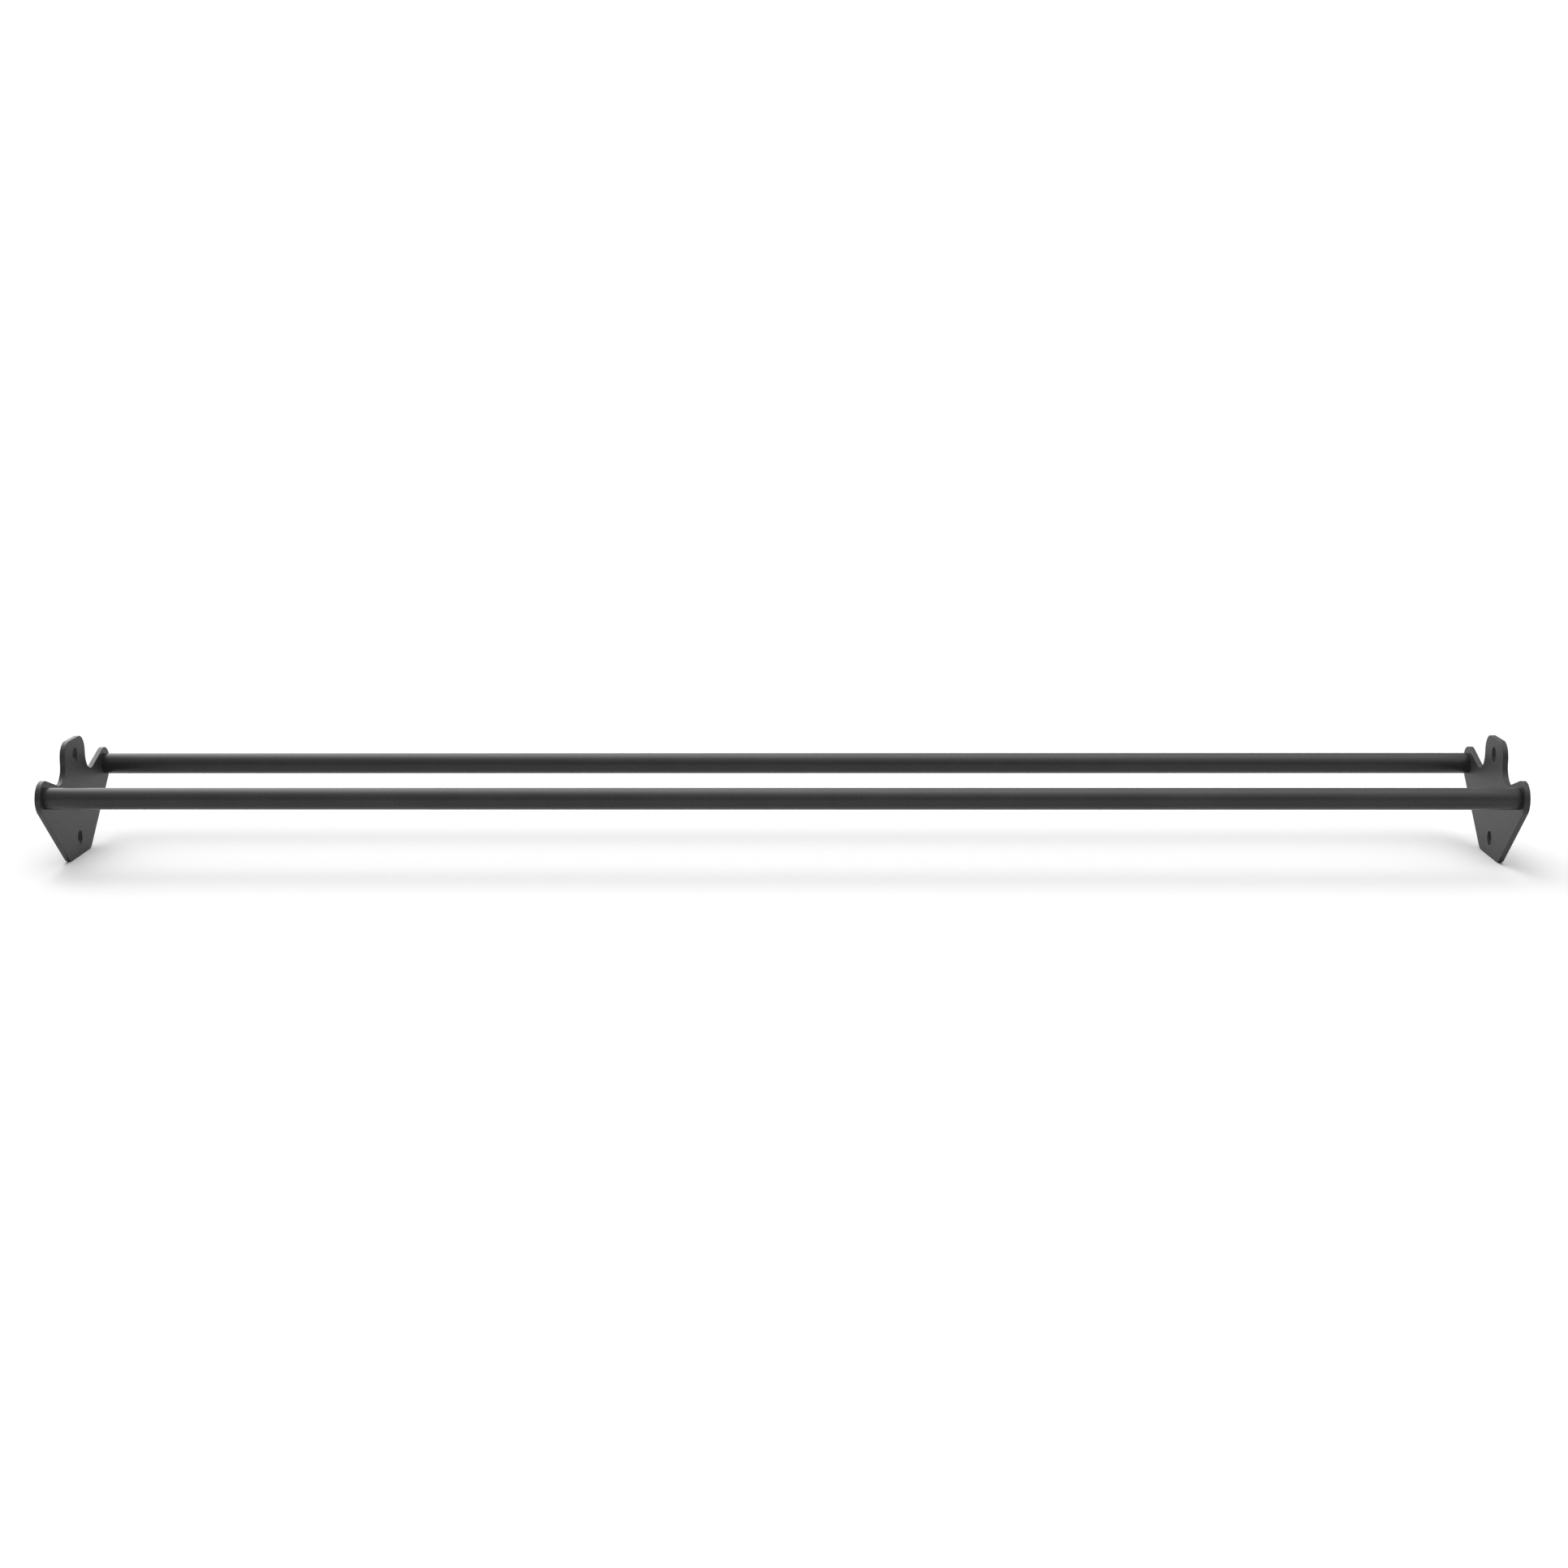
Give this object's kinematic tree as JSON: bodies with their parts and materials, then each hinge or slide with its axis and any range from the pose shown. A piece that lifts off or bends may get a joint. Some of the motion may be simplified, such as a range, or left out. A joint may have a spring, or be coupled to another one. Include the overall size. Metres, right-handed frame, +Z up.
{
  "type": "double pull-up bar",
  "caption": "Straight double pull-up bar: parallel steel tubes welded into shaped end brackets that bolt between the uprights of a training rig.",
  "frame": {"origin": "middle of the span, midway between the bars, on the plane of the brackets' lower edges", "axes": "+X along the bars towards the right bracket, +Y from the front bar to the rear bar, +Z up"},
  "size_m": [1.7226, 0.2664, 0.1445],
  "materials": {
    "bar_coat": "matt charcoal powder coat on round steel tube",
    "bracket_coat": "matt charcoal powder coat on laser-cut steel plate",
    "weld_coat": "matt charcoal powder coat over a ground weld"
  },
  "bodies": {
    "root": {"front_bar": "bar_coat", "rear_bar": "bar_coat", "left_bracket": "bracket_coat", "right_bracket": "bracket_coat", "left_front_weld": "weld_coat", "left_rear_weld": "weld_coat", "right_front_weld": "weld_coat", "right_rear_weld": "weld_coat"}
  },
  "joints": []
}
